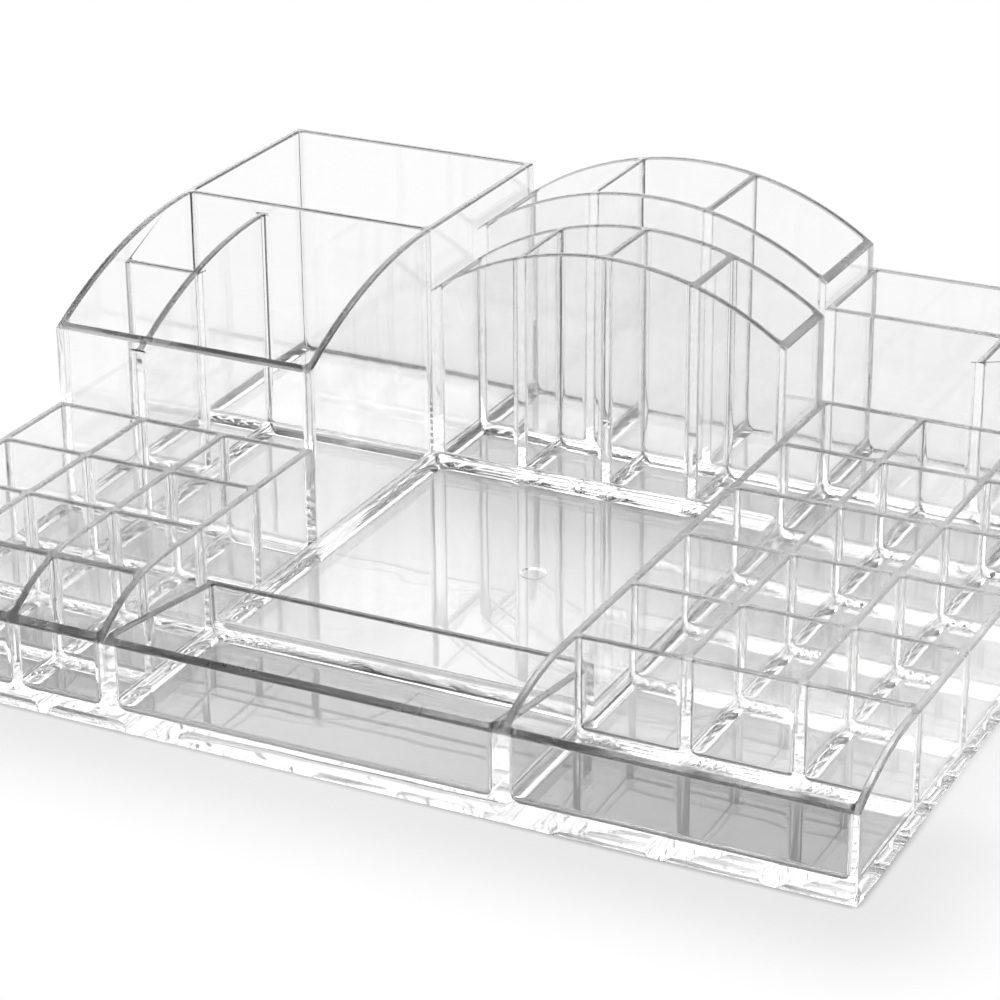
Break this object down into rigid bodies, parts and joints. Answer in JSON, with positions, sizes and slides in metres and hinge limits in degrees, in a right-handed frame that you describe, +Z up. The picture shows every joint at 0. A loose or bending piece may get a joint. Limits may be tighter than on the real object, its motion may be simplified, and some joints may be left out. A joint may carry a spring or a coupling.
{
  "type": "vanity organizer",
  "caption": "clear plastic vanity organizer with low egg-crate tube racks, a tall divided box, arched brush holders, a front trough and an open tray",
  "frame": {"origin": "middle of the footprint, on the plane the organizer stands on", "axes": "+X to the right along the front, +Y to the back, +Z up"},
  "size_m": [0.2638, 0.2288, 0.0795],
  "materials": {
    "moulded_shell": "clear, polished mould surface",
    "divider_plate": "clear, polished sheet"
  },
  "bodies": {
    "root": {"left_rack_shell": "moulded_shell", "left_box_shell": "moulded_shell", "front_trough": "moulded_shell", "tray": "moulded_shell", "front_arch_shell": "moulded_shell", "rear_arch_shell": "moulded_shell", "right_rack_shell": "moulded_shell", "right_box_shell": "moulded_shell", "left_rack_cross_wall_1": "divider_plate", "left_rack_cross_wall_2": "divider_plate", "left_rack_cross_wall_3": "divider_plate", "left_rack_long_divider_1": "divider_plate", "left_rack_long_divider_2": "divider_plate", "left_box_cross_wall": "divider_plate", "left_box_long_divider": "divider_plate", "left_box_short_divider": "divider_plate", "front_arch_divider_1": "divider_plate", "front_arch_divider_2": "divider_plate", "front_arch_divider_3": "divider_plate", "rear_arch_divider_1": "divider_plate", "rear_arch_divider_2": "divider_plate", "right_rack_cross_wall_1": "divider_plate", "right_rack_cross_wall_2": "divider_plate", "right_rack_cross_wall_3": "divider_plate", "right_rack_cross_wall_4": "divider_plate", "right_rack_cross_wall_5": "divider_plate", "right_rack_long_divider_1": "divider_plate", "right_rack_long_divider_2": "divider_plate", "right_box_divider": "divider_plate"}
  },
  "joints": []
}
